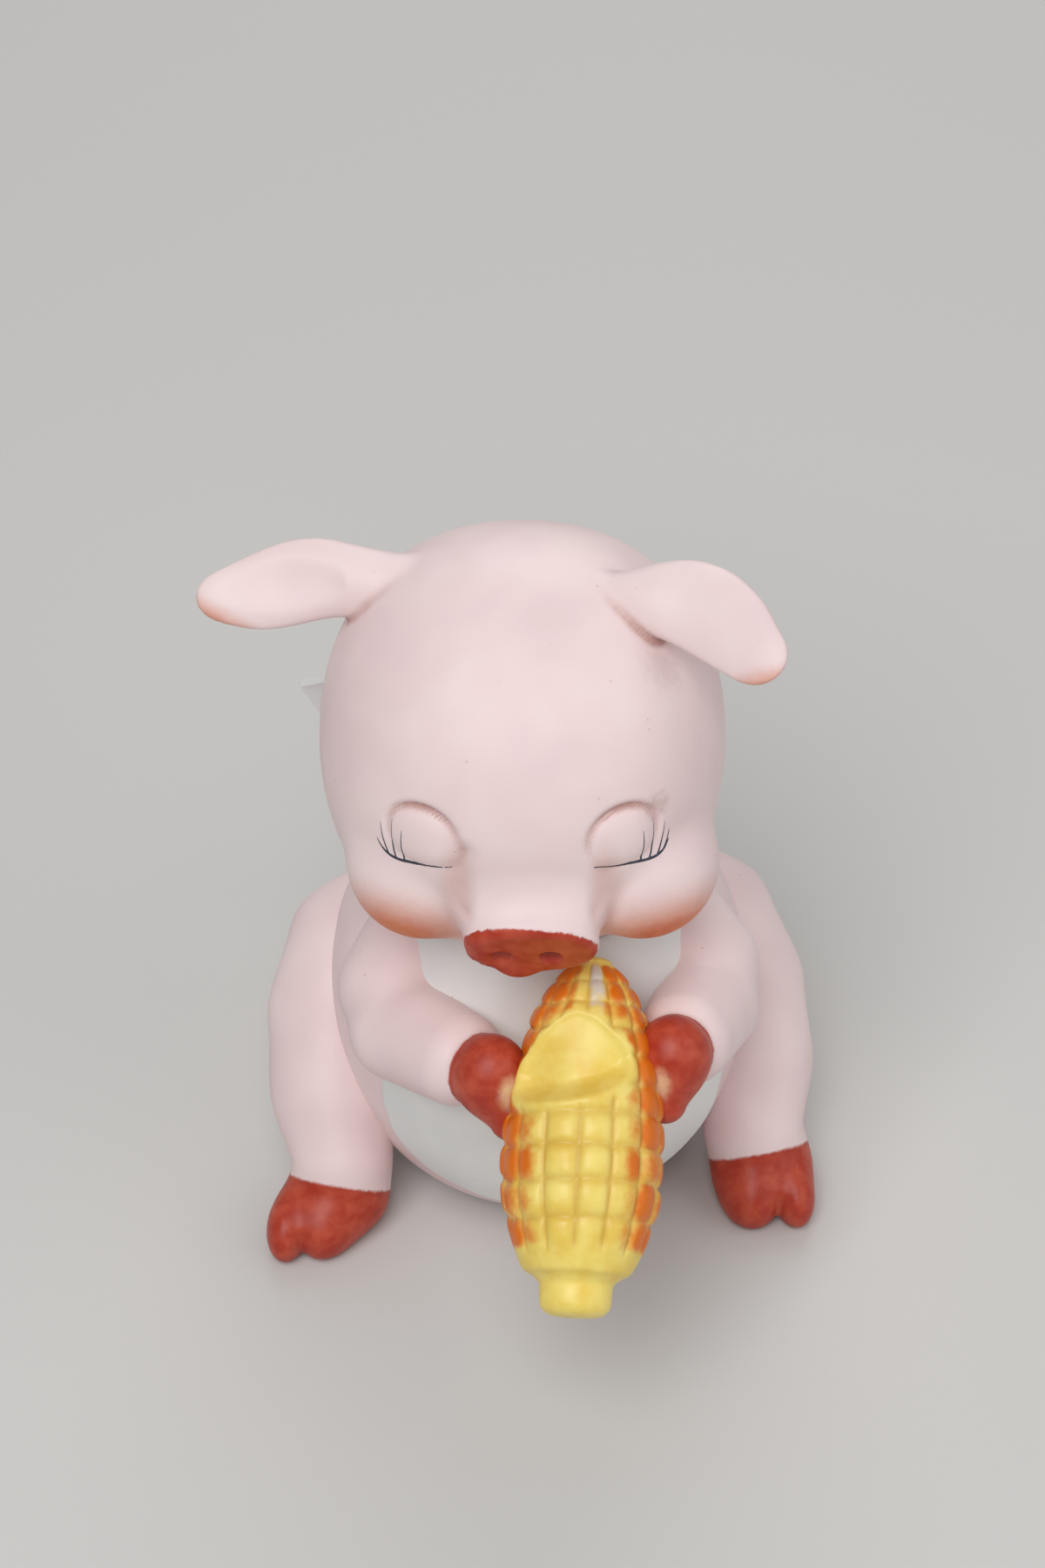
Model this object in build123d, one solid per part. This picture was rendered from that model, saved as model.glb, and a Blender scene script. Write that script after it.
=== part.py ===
from build123d import *

import math
import os

# Seated pig figurine in bisque porcelain, eating a corn cob. Millimetres.
# The seat is on z = 0 with the torso's axis on z, and the pig faces -Y.
# Each named piece is cast by itself and luted to its neighbours before firing.
# "left" and "right" are the pig's own sides, so left is +X.

# Torso casting: an egg cut flat at the seat and at the neck
body_radius = 26.0
girth_height = 23.0
crown_rise = 31.0
body_wall = 3.0
seat_cut_share = 0.79
neck_cut_share = 0.774
vent_radius = 2.5
vent_setback = 8.0
spigot_radius = 7.0
spigot_height = 3.0
spigot_bore = 4.5
lute_clearance = 0.15

# Head casting, in its own frame: centre of the skull, face towards -Y
skull_half_width = 23.2
skull_half_depth = 24.0
skull_half_height = 23.6
head_wall = 3.0
head_forward = 4.0
head_sidestep = -2.3
head_nod = 18.0
head_turn = -6.0
neck_set_share = 0.885
face_sidestep = 1.0
cheek_radius = 9.2
cheek_place_shares = (0.53, -0.58, -0.18)
snout_half_width = 7.1
snout_half_height = 5.6
snout_reach = 27.4
snout_drop = 1.0
snout_station_shares = (0.5, 0.72, 0.86, 1.0)
snout_flare_shares = (1.55, 1.12, 1.0, 1.0)
snout_edge_radius = 0.9
nostril_radius = 1.25
nostril_depth = 1.1
nostril_place_shares = (0.38, 0.05)
lip_half_width = 2.6
lip_half_height = 1.5
lip_thickness = 2.2
eye_half_width = 5.2
eye_half_height = 4.4
eyelid_bulge = 2.6
eyelid_stand = 0.5
socket_margin = 0.8
socket_depth = 1.2
eye_side_angle = 31.5
eye_lift_angle = 25.0
eye_slant = -12.0

# Ears: leaf-shaped castings on the upper back of the skull
ear_length = 26.0
ear_width = 9.8
ear_thickness = 3.4
ear_sink = 6.0
right_ear_place_shares = (0.74, 0.43, 0.61)
left_ear_place_shares = (0.54, 0.22, 0.85)
ear_station_shares = (0.0, 0.26, 0.465, 0.65, 0.815, 0.935)
ear_width_shares = (0.6, 0.72, 0.95, 1.0, 0.8, 0.48)
ear_thick_shares = (1.6, 1.25, 1.0, 0.9, 0.8, 0.6)
right_ear_drift_shares = (0.04, 0.08, 0.15, 0.07, -0.02, -0.05)
left_ear_drift_shares = (0.06, 0.14, 0.25, 0.26, 0.16, 0.04)
ear_lean = 30.0
right_ear_droop = 1.0
left_ear_droop = 27.0
right_ear_sweep = 0.0
left_ear_sweep = 32.0

# Corn cob, in its own frame: stem end at the origin, tip towards +Z
cob_length = 35.5
cob_radius = 9.3
cob_columns = 14
cob_rows = 10
cob_belly_share = 0.36
cob_butt_share = 0.46
cob_tip_share = 0.66
tip_row_share = 0.6
kernel_swell = 0.55
kernel_gap = 0.5
kernel_groove = 0.9
column_root = 2.0
stem_radius = 4.0
stem_length = 4.6
stem_rim = 0.6
cob_sidestep = 1.4
cob_chest_share = 0.64
cob_set_share = 0.43
cob_clearance = 0.35
cob_drop = 9.2
cob_tilt = 36.0
cob_swing = 10.0
bite_half_width = 9.0
bite_half_length = 5.4
bite_depth = 3.4
bite_place_share = 0.67

# Arms: from the shoulder round to a hoof that grips the cob
arm_radius = 5.8
hand_radius = 4.7
hand_gap = 1.3
grip_margin = 0.03
wrist_share = 0.6
right_grip_share = 0.64
left_grip_share = 0.73
shoulder_shares = (0.52, -0.14, 0.55)
upper_arm_shares = (0.67, -0.42, 0.5)
elbow_shares = (0.7, -0.72, 0.42)

# Legs: from the hip forward and down to a cloven hoof
leg_radius = 6.8
leg_path_shares = (
    (0.66, 0.42, 1.3),
    (0.85, 0.26, 1.12),
    (0.97, 0.03, 0.86),
    (1.0, -0.25, 0.6),
    (0.98, -0.5, 0.38),
    (0.99, -0.66, 0.25),
)
leg_girth_shares = (0.75, 1.06, 1.08, 0.98, 0.92, 0.6)
hoof_half_width = 7.0
hoof_half_length = 8.2
hoof_half_height = 5.2
right_toe_out = 60.0
left_toe_out = 28.0
hoof_place_shares = (1.01, -0.7)
hoof_sink_share = 0.12
cleft_width = 1.0
cleft_length = 4.5

# Napkin: a bib on the belly, a band round the neck and a knot behind
napkin_thickness = 0.9
bib_half_width = 20.0
bib_drop = 14.0
band_height = 3.2
knot_half_width = 4.2
knot_half_depth = 2.8
knot_half_height = 3.4
knot_end_length = 29.0
knot_end_width = 10.0
knot_end_thickness = 1.8
knot_end_station_shares = (0.0, 0.3, 0.66)
knot_end_width_shares = (0.4, 0.7, 1.0)
right_end_rise = 21.0
left_end_rise = -30.0
knot_end_sweep = 4.0

# Tail: a flat curl on the rump
tail_radius = 1.6
tail_curl_radius = 4.6
tail_curl_shares = (1.0, 0.58)
tail_height = 14.0

cut_overrun = 1.0

# Worked-out places
neck_height = girth_height + crown_rise * neck_cut_share
base_drop = girth_height / seat_cut_share
neck_radius = body_radius * math.sqrt(1 - neck_cut_share**2)
chest_radius = body_radius * math.sqrt(1 - cob_chest_share**2)
cob_reach = chest_radius + napkin_thickness + cob_clearance + cob_length * cob_set_share
head_height = neck_height + skull_half_height * neck_set_share
neck_place = Pos(head_sidestep, -head_forward, neck_height)
head_place = Pos(head_sidestep, -head_forward, head_height) * Rot(Z=head_turn) * Rot(X=head_nod)
cob_turn = Rot(Z=-cob_swing) * Rot(X=cob_tilt - 90)
cob_middle = Pos(cob_sidestep, -cob_reach, neck_height - cob_drop)
cob_place = cob_middle * cob_turn * Pos(0, 0, -cob_length / 2)


def ellipsoid(half_width, half_depth, half_height):
    return scale(Sphere(1), by=(half_width, half_depth, half_height))


def slab(low, high, reach):
    """Round slab between two heights."""
    return Pos(0, 0, low) * Cylinder(reach, high - low, align=(Align.CENTER, Align.CENTER, Align.MIN))


def half_eggs(radius, rise, drop):
    """Two half ellipsoids that share a girth on z = 0."""
    reach = radius + cut_overrun
    upper = ellipsoid(radius, radius, rise) & slab(0, rise + cut_overrun, reach)
    lower = ellipsoid(radius, radius, drop) & slab(-drop - cut_overrun, 0, reach)
    return upper + lower


def egg(margin, low, high):
    """The torso's egg, grown by a margin and cut at two heights."""
    whole = half_eggs(body_radius + margin, crown_rise + margin, base_drop + margin)
    return Pos(0, 0, girth_height) * whole & slab(low, high, body_radius + margin + cut_overrun)


def limb_sections(points, radii):
    """Round sections square to a centreline."""
    sections = []
    last = len(points) - 1
    for index, radius in enumerate(radii):
        heading = points[min(index + 1, last)] - points[max(index - 1, 0)]
        across = Vector(0, 0, 1).cross(heading)
        sections.append(Plane(points[index], x_dir=across, z_dir=heading) * Circle(radius))
    return sections


def make_body():
    shell = egg(0, 0, neck_height)
    cavity = egg(-body_wall, body_wall, neck_height - body_wall)
    spigot = neck_place * slab(0, spigot_height, spigot_radius)
    bore = neck_place * slab(-body_wall - cut_overrun, spigot_height + cut_overrun, spigot_bore)
    vent = Pos(0, vent_setback, 0) * slab(-cut_overrun, body_wall + cut_overrun, vent_radius)
    return shell - cavity + spigot - bore - vent


def make_snout():
    """Flared barrel from inside the skull to the flat nose."""
    sections = []
    for reach_share, flare_share in zip(snout_station_shares, snout_flare_shares):
        spot = (face_sidestep, -snout_reach * reach_share, -snout_drop)
        plane = Plane(spot, x_dir=(1, 0, 0), z_dir=(0, -1, 0))
        sections.append(plane * Ellipse(snout_half_width * flare_share, snout_half_height * flare_share))
    barrel = loft(sections)
    rim = barrel.faces().sort_by(Axis.Y)[0].edges()
    return fillet(rim, snout_edge_radius)


def eye_frame(side):
    """Location on the skull's skin at an eye, with +Z outward and +X along the lid."""
    lift = math.radians(eye_lift_angle)
    aside = math.radians(eye_side_angle)
    level = math.cos(lift)
    spot = Vector(
        side * skull_half_width * level * math.sin(aside),
        -skull_half_depth * level * math.cos(aside),
        skull_half_height * math.sin(lift),
    )
    outward = Vector(
        spot.X / skull_half_width**2,
        spot.Y / skull_half_depth**2,
        spot.Z / skull_half_height**2,
    )
    along = Vector(0, 0, 1).cross(outward)
    return Plane(spot, x_dir=along, z_dir=outward).location * Rot(Z=side * eye_slant)


def head_form():
    """The head's outer skin as a solid, set on the neck: skull, snout, cheeks, eyelids and lip."""
    form = ellipsoid(skull_half_width, skull_half_depth, skull_half_height) + make_snout()
    across, forward, up = cheek_place_shares
    for side in (-1, 1):
        aside = face_sidestep + side * across * skull_half_width
        cheek = Pos(aside, forward * skull_half_depth, up * skull_half_height)
        form += cheek * Sphere(cheek_radius)
    for side in (-1, 1):
        socket = ellipsoid(eye_half_width + socket_margin, eye_half_height + socket_margin, socket_depth)
        lid = ellipsoid(eye_half_width, eye_half_height, eyelid_bulge)
        form -= eye_frame(side) * socket
        form += eye_frame(side) * Pos(0, 0, eyelid_stand - eyelid_bulge) * lid
    for side in (-1, 1):
        nostril = Pos(
            face_sidestep + side * nostril_place_shares[0] * snout_half_width,
            -snout_reach,
            nostril_place_shares[1] * snout_half_height - snout_drop,
        )
        form -= nostril * ellipsoid(nostril_radius, nostril_depth, nostril_radius)
    lip = Pos(face_sidestep, lip_thickness - snout_reach, -snout_drop - snout_half_height)
    form += lip * ellipsoid(lip_half_width, lip_thickness, lip_half_height)
    below = neck_place * slab(-skull_half_height, 0, skull_half_width + snout_reach)
    return head_place * form - below


def make_head(form):
    cavity = head_place * ellipsoid(
        skull_half_width - head_wall, skull_half_depth - head_wall, skull_half_height - head_wall
    )
    socket = neck_place * slab(-cut_overrun, spigot_height + head_wall, spigot_radius + lute_clearance)
    return form - cavity - socket


def make_ear(side, place_shares, drift_shares, droop, sweep_angle, head_skin):
    """Leaf-shaped ear: its root is sunk in the skull and cut to seat on it."""
    across, back, up = place_shares
    root = Pos(side * across * skull_half_width, back * skull_half_depth, up * skull_half_height)
    aim = root * Rot(X=ear_lean) * Rot(Z=-side * droop) * Rot(Y=-side * sweep_angle)
    sections = []
    shares = zip(ear_station_shares, drift_shares, ear_width_shares, ear_thick_shares)
    for station_share, drift_share, width_share, thick_share in shares:
        spot = (side * (ear_length * station_share - ear_sink), ear_width * drift_share, 0)
        plane = Plane(spot, x_dir=(0, 1, 0), z_dir=(side, 0, 0))
        sections.append(plane * Ellipse(ear_width * width_share / 2, ear_thickness * thick_share / 2))
    sections.append(Vertex(side * (ear_length - ear_sink), ear_width * drift_shares[-1], 0))
    return head_place * aim * loft(sections) - head_skin


def cob_form(margin):
    """Smooth form that the kernel tops touch, grown by a margin."""
    tip = cob_length * cob_tip_share + margin
    butt = cob_length * cob_butt_share + margin
    return Pos(0, 0, cob_length * cob_belly_share) * half_eggs(cob_radius + margin, tip, butt)


def cob_envelope(height):
    """Radius over the kernel tops at a height above the lowest row."""
    rise = height - cob_length * cob_belly_share
    span = cob_length * (cob_tip_share if rise > 0 else cob_butt_share)
    return cob_radius * math.sqrt(1 - (rise / span) ** 2)


def make_kernel_column():
    """One lengthwise column of swollen kernels, rooted in the core."""
    weights = [1 + (tip_row_share - 1) * row / (cob_rows - 1) for row in range(cob_rows)]
    edges = [cob_length * sum(weights[:row]) / sum(weights) for row in range(cob_rows + 1)]
    valleys = [(cob_envelope(height) - kernel_swell, height) for height in edges]
    outline = Curve() + Polyline(valleys[-1], (column_root, cob_length), (column_root, 0), valleys[0])
    for low, high in zip(valleys, valleys[1:]):
        middle = (low[1] + high[1]) / 2
        outline += ThreePointArc(low, (cob_envelope(middle), middle), high)
    span = 360 / cob_columns - math.degrees(kernel_gap / cob_radius)
    return revolve(Plane.XZ * make_face(outline), Axis.Z, span)


def make_cob():
    """Core with columns of kernels all round, a stem knob and a bite out of the upper side."""
    column = make_kernel_column()
    columns = [Rot(Z=360 * index / cob_columns) * column for index in range(cob_columns)]
    cob = cob_form(-kernel_groove) + columns
    stem = slab(-stem_length, stem_length, stem_radius)
    cob += fillet(stem.edges().sort_by(Axis.Z)[0], stem_rim)
    bite_height = cob_length * bite_place_share
    bite = ellipsoid(bite_half_width, bite_depth, bite_half_length)
    cob -= Pos(0, -cob_envelope(bite_height), bite_height) * bite
    return cob_place * cob


def body_spot(shares):
    """Place on or near the torso: shares of its radius across and forward, and of its crown's rise."""
    across, forward, up = shares
    return Vector(across * body_radius, forward * body_radius, girth_height + up * crown_rise)


def make_arm(side, grip_share):
    """Shoulder, elbow and forearm to a hoof that is cut to the cob it grips."""
    grip = cob_place * Pos(side * (cob_radius + hand_gap), 0, cob_length * grip_share)
    hand = grip.position
    spots = []
    for shares in (shoulder_shares, upper_arm_shares, elbow_shares):
        spot = body_spot(shares)
        spots.append(Vector(side * spot.X, spot.Y, spot.Z))
    wrist = spots[-1] + (hand - spots[-1]) * wrist_share
    tip = hand + (hand - wrist).normalized() * hand_radius
    points = spots + [wrist, hand]
    radii = (arm_radius, arm_radius, arm_radius, arm_radius, hand_radius)
    arm = loft(limb_sections(points, radii) + [Vertex(*tip)])
    return arm - egg(napkin_thickness, 0, neck_height) - cob_place * cob_form(grip_margin)


def make_leg(side, toe_out, body_skin):
    points = []
    for across, forward, up in leg_path_shares:
        points.append(Vector(side * across * body_radius, forward * body_radius, up * girth_height))
    across, forward = hoof_place_shares
    hoof_spot = Pos(
        side * across * body_radius, forward * body_radius, hoof_half_height * (1 - hoof_sink_share)
    )
    hoof_frame = hoof_spot * Rot(Z=side * toe_out)
    hoof = hoof_frame * ellipsoid(hoof_half_width, hoof_half_length, hoof_half_height)
    radii = [leg_radius * share for share in leg_girth_shares]
    leg = loft(limb_sections(points, radii)) + hoof
    cleft = Pos(0, -hoof_half_length, 0) * Box(cleft_width, 2 * cleft_length, 4 * hoof_half_height)
    leg -= hoof_frame * cleft
    return (leg & slab(0, neck_height, 4 * body_radius)) - body_skin


def make_napkin():
    """Bib down the belly and a band round the neck, as one slab that follows the torso."""
    low = girth_height - bib_drop
    skin = egg(napkin_thickness, 0, neck_height)
    bib_outline = Curve() + [
        EllipticalCenterArc((0, girth_height), bib_half_width, bib_drop, 180, arc_size=180),
        Polyline(
            (bib_half_width, girth_height),
            (bib_half_width, neck_height),
            (-bib_half_width, neck_height),
            (-bib_half_width, girth_height),
        ),
    ]
    front = extrude(Plane.XZ * make_face(bib_outline), body_radius + napkin_thickness + cut_overrun)
    band = slab(neck_height - band_height, neck_height, body_radius)
    return skin & (front + band)


def make_knot(body_skin, napkin):
    spot = Pos(0, neck_radius + knot_half_depth, neck_height - band_height / 2)
    return spot * ellipsoid(knot_half_width, knot_half_depth, knot_half_height) - body_skin - napkin


def make_knot_end(side, rise, knot, body_skin, napkin, head_skin):
    """Pointed cloth corner that stands out from the knot."""
    spot = Pos(0, neck_radius + knot_half_depth, neck_height - band_height / 2)
    aim = spot * Rot(Z=side * knot_end_sweep) * Rot(Y=-side * rise)
    sections = []
    for station_share, width_share in zip(knot_end_station_shares, knot_end_width_shares):
        plane = Plane((side * knot_end_length * station_share, 0, 0), x_dir=(0, 0, 1), z_dir=(side, 0, 0))
        sections.append(plane * Ellipse(knot_end_width * width_share / 2, knot_end_thickness / 2))
    sections.append(Vertex(side * knot_end_length, 0, 0))
    return aim * loft(sections) - knot - body_skin - napkin - head_skin


def make_tail(body_skin):
    """Spiral of half turns, each smaller than the last, half sunk in the rump and cut to seat on it."""
    rump = body_radius * math.sqrt(1 - ((tail_height - girth_height) / base_drop) ** 2)
    plane = Plane((0, rump, tail_height), x_dir=(-1, 0, 0), z_dir=(0, 1, 0))
    start = (-tail_curl_radius, 0)
    turns = []
    for index, share in enumerate(tail_curl_shares):
        way = 1 if index % 2 == 0 else -1
        radius = tail_curl_radius * share
        end = (start[0] + 2 * way * radius, 0)
        middle = (start[0] + way * radius, way * radius)
        turns.append(ThreePointArc(start, middle, end))
        start = end
    path = plane * (Curve() + turns)
    root = Plane(path @ 0, z_dir=path % 0) * Circle(tail_radius)
    curl = sweep(root, path.wire())
    for end in (path @ 0, path @ 1):
        curl += Pos(end) * Sphere(tail_radius)
    return curl - body_skin


def main():
    os.makedirs("parts", exist_ok=True)
    body_skin = egg(0, 0, neck_height)
    head_skin = head_form()
    napkin = make_napkin() - body_skin
    knot = make_knot(body_skin, napkin)
    pieces = {
        "body": make_body(),
        "head": make_head(head_skin),
        "ear_left": make_ear(
            1, left_ear_place_shares, left_ear_drift_shares, left_ear_droop, left_ear_sweep, head_skin
        ),
        "ear_right": make_ear(
            -1, right_ear_place_shares, right_ear_drift_shares, right_ear_droop, right_ear_sweep, head_skin
        ),
        "corn_cob": make_cob(),
        "arm_left": make_arm(1, left_grip_share),
        "arm_right": make_arm(-1, right_grip_share),
        "leg_left": make_leg(1, left_toe_out, body_skin),
        "leg_right": make_leg(-1, right_toe_out, body_skin),
        "napkin_bib": napkin,
        "napkin_knot": knot,
        "napkin_end_left": make_knot_end(1, left_end_rise, knot, body_skin, napkin, head_skin),
        "napkin_end_right": make_knot_end(-1, right_end_rise, knot, body_skin, napkin, head_skin),
        "tail": make_tail(body_skin),
    }
    for name, piece in pieces.items():
        export_step(piece, f"parts/{name}.step")


main()
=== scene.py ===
import math

import bpy
import numpy as np
from mathutils import Euler, Matrix, Vector
from mathutils.bvhtree import BVHTree


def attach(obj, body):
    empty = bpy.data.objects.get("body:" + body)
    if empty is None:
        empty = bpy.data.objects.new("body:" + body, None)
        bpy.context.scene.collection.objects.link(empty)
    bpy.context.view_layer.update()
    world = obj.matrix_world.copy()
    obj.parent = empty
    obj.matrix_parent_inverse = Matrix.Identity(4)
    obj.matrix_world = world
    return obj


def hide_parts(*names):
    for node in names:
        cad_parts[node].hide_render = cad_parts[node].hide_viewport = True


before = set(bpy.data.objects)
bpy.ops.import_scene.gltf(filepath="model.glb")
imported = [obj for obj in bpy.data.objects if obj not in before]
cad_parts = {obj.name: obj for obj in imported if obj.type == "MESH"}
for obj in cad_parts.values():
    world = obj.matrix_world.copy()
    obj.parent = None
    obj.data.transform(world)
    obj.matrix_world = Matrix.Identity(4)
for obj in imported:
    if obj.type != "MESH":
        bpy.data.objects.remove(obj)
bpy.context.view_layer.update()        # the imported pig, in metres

mm = 0.001
root = "root"  # the figurine is fired as one, so all of it rides on one body


# Small helpers

def clearSelection():
    active = bpy.context.object
    if active and active.mode != "OBJECT":
        bpy.ops.object.mode_set(mode="OBJECT")
    bpy.ops.object.select_all(action="DESELECT")


def pick(obj):
    clearSelection()
    obj.select_set(True)
    bpy.context.view_layer.objects.active = obj
    return obj


def applyModifier(obj, kind, **settings):
    pick(obj)
    modifier = obj.modifiers.new(kind.title(), kind)
    for key, value in settings.items():
        setattr(modifier, key, value)
    bpy.ops.object.modifier_apply(modifier=modifier.name)


def joinPieces(name, pieces):
    clearSelection()
    for piece in pieces:
        piece.select_set(True)
    bpy.context.view_layer.objects.active = pieces[0]
    if len(pieces) > 1:
        bpy.ops.object.join()
    bpy.ops.object.transform_apply(location=True, rotation=True, scale=True)
    joined = bpy.context.object
    joined.name = joined.data.name = name
    return joined


def readPoints(obj):  # vertices in mm
    flat = np.empty(len(obj.data.vertices) * 3)
    obj.data.vertices.foreach_get("co", flat)
    return flat.reshape(-1, 3) / mm


def writePoints(obj, points):
    obj.data.vertices.foreach_set("co", (points * mm).astype(np.float32).ravel())
    obj.data.update()


def keepAttribute(obj, name, values):
    attribute = obj.data.attributes.new(name, "FLOAT", "POINT")
    attribute.data.foreach_set("value", values.astype(np.float32))


def smoothStep(low, high, values):
    share = np.clip((values - low) / (high - low), 0, 1)
    return share * share * (3 - 2 * share)


def turned(points, matrix):  # rows of mm points through a 4 x 4
    grid = np.array(matrix)
    return np.asarray(points) @ grid[:3, :3].T + grid[:3, 3]


def placeAt(at, turnZ=0, turnX=0):  # mm and degrees
    spin = Matrix.Rotation(math.radians(turnZ), 4, "Z") @ Matrix.Rotation(math.radians(turnX), 4, "X")
    return Matrix.Translation(at) @ spin


# Clay: lumps that melt into each other, as a modeller would press them together

def lumpAxes(lump):
    if "axes" in lump:
        return lump["axes"]
    return np.array(Euler([math.radians(angle) for angle in lump.get("turn", (0, 0, 0))]).to_matrix())


def lumpGap(points, lump):  # distance in mm from points to a lump's skin, minus inside
    form = lump.get("form", "ball")
    if form == "floor":
        return points[:, 2] - lump["at"]
    if form == "bone":
        start = np.array(lump["at"], float)
        along = np.array(lump["to"], float) - start
        share = np.clip((points - start) @ along / (along @ along), 0, 1)
        radius = lump["radii"][0] + (lump["radii"][1] - lump["radii"][0]) * share
        return np.linalg.norm(points - start - share[:, None] * along, axis=1) - radius
    local = (points - np.array(lump["at"], float)) @ lumpAxes(lump)
    size = np.array(lump["size"], float)
    if form == "egg":  # other radius below the girth than above it
        size = np.where(local[:, 2:] > 0, size, size * (1, 1, lump["dropShare"]))
    if form == "barrel":  # round-edged, along -y, wider at the back
        back = np.clip(local[:, 1] + size[1], 0, None)
        flare = 1 + np.array(lump["flare"]) * (back[:, None] / size[1]) ** 2
        radii = size[(0, 2),] * flare
        share = np.maximum(np.abs(local[:, (0, 2)] / radii), 1e-6)
        grow = (share ** lump["round"]).sum(1) ** (1 / lump["round"])
        steep = grow ** (1 - lump["round"]) * np.linalg.norm(share ** (lump["round"] - 1) / radii, axis=1)
        edge = lump["edge"]
        out = np.stack([(grow - 1) / np.maximum(steep, 1e-6), -local[:, 1] - size[1]], 1) + edge
        return np.minimum(out.max(1), 0) + np.linalg.norm(np.maximum(out, 0), axis=1) - edge
    power = lump.get("power", 2)
    share = np.abs(local / size)
    grow = np.maximum((share ** power).sum(1), 1e-12) ** (1 / power)
    steep = grow ** (1 - power) * np.linalg.norm(share ** (power - 1) / size, axis=1)
    return (grow - 1) / np.maximum(steep, 1e-6)


def softJoin(first, second, blend):
    share = np.clip(0.5 + 0.5 * (second - first) / blend, 0, 1)
    return second * (1 - share) + first * share - blend * share * (1 - share)


def lumpNear(points, lump):  # which points a lump can reach
    if lump.get("form") == "floor":
        return points[:, 2] < lump["at"] + 4 * lump["blend"]
    centre = (np.array(lump["at"]) + np.array(lump.get("to", lump["at"]))) / 2
    reach = max(lump.get("size", lump.get("radii"))) + np.linalg.norm(np.array(lump["at"]) - centre)
    return np.linalg.norm(points - centre, axis=1) < reach + lump["blend"] + 3


def clayGap(points, lumps):
    gap = lumpGap(points, lumps[0])
    for lump in lumps[1:]:
        near = lumpNear(points, lump)
        close = points[near]
        blend = lump["blend"]
        if "tight" in lump:  # a crease near one spot
            spot, reach, tightBlend = lump["tight"]
            away = np.linalg.norm(close - np.array(spot), axis=1)
            blend = tightBlend + (blend - tightBlend) * smoothStep(0.5 * reach, 1.5 * reach, away)
        other = lumpGap(close, lump)
        if lump.get("cut"):
            gap[near] = -softJoin(-gap[near], other, blend)
        else:
            gap[near] = softJoin(gap[near], other, blend)
    return gap


def settleOnClay(obj, lumps, rounds=5, step=0.01, limit=0.6):
    points = readPoints(obj)
    for _ in range(rounds):
        gap = clayGap(points, lumps)
        slope = np.stack([clayGap(points + step * axis, lumps) - gap for axis in np.eye(3)], 1) / step
        move = gap / np.maximum((slope ** 2).sum(1), 0.1)
        points -= slope * np.clip(move, -limit, limit)[:, None]
    writePoints(obj, points)


def addBall(at, size, axes):
    clearSelection()
    bpy.ops.mesh.primitive_uv_sphere_add(segments=48, ring_count=24, radius=mm)
    ball = bpy.context.object
    ball.matrix_world = Matrix.LocRotScale(Vector(at) * mm, Matrix(axes.tolist()), Vector(size))
    return ball


def pressClay(name, lumps, voxel):
    balls = []
    for lump in lumps:
        form = lump.get("form", "ball")
        if lump.get("cut"):
            continue
        if form == "bone":
            for share in np.linspace(0, 1, 7):
                at = np.array(lump["at"]) * (1 - share) + np.array(lump["to"]) * share
                radius = lump["radii"][0] * (1 - share) + lump["radii"][1] * share
                balls.append(addBall(at, (radius,) * 3, np.eye(3)))
        else:
            balls.append(addBall(lump["at"], lump["size"], lumpAxes(lump)))
    clay = joinPieces(name, balls)
    for size, rounds in ((voxel * 1.8, 7), (voxel, 4), (voxel, 3)):
        applyModifier(clay, "REMESH", mode="VOXEL", voxel_size=size * mm)
        settleOnClay(clay, lumps, rounds)
    pick(clay)
    bpy.ops.object.shade_smooth()
    print("clay", name, len(clay.data.polygons), "faces")
    return clay


def bothSides(lump):
    x, y, z = lump["at"]
    other = dict(lump, at=(-x, y, z))
    if "to" in lump:
        other["to"] = (-lump["to"][0], *lump["to"][1:])
    if "turn" in lump:
        tip, roll, swing = lump["turn"]
        other["turn"] = (tip, -roll, -swing)
    if "tight" in lump:
        (spotX, spotY, spotZ), reach, tightBlend = lump["tight"]
        other["tight"] = ((-spotX, spotY, spotZ), reach, tightBlend)
    return [lump, other]


def creases(obj, spread):  # how hollow the skin is at each vertex, 0 to 1; the finishes paint shade into the hollows with it
    points = readPoints(obj)
    count = len(points)
    edges = np.empty(len(obj.data.edges) * 2, np.int32)
    obj.data.edges.foreach_get("vertices", edges)
    one, two = edges.reshape(-1, 2).T
    normals = np.empty(count * 3, np.float32)
    obj.data.vertices.foreach_get("normal", normals)
    normals = normals.reshape(-1, 3)
    links = np.maximum(np.bincount(one, minlength=count) + np.bincount(two, minlength=count), 1)

    def average(values):
        total = np.bincount(one, values[two], count) + np.bincount(two, values[one], count)
        return total / links

    middle = np.stack([average(points[:, axis]) for axis in range(3)], 1)
    hollowShade = ((middle - points) * normals).sum(1)
    for _ in range(6):
        hollowShade = average(hollowShade)
    return smoothStep(0, spread, hollowShade)


def finishPiece(obj, material, slot, *nodes):
    obj.data.materials.clear()
    obj.data.materials.append(material)
    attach(obj, root)
    if nodes:
        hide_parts(*nodes)


# Node helpers

def newFinish(name, roughness, specular=0.4):
    material = bpy.data.materials.new(name)
    material.use_nodes = True
    tree = material.node_tree
    shader = tree.nodes["Principled BSDF"]
    shader.inputs["Roughness"].default_value = roughness
    shader.inputs["Specular IOR Level"].default_value = specular
    return material, tree, shader


def feed(tree, socket, value):
    if isinstance(value, bpy.types.NodeSocket):
        tree.links.new(value, socket)
    else:
        socket.default_value = value


def addMath(tree, operation, first, second=0.0):
    node = tree.nodes.new("ShaderNodeMath")
    node.operation = operation
    feed(tree, node.inputs[0], first)
    feed(tree, node.inputs[1], second)
    return node.outputs[0]


def addVector(tree, operation, first, second, output=0):
    node = tree.nodes.new("ShaderNodeVectorMath")
    node.operation = operation
    feed(tree, node.inputs[0], first)
    feed(tree, node.inputs[1], second)
    return node.outputs[output]


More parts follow.
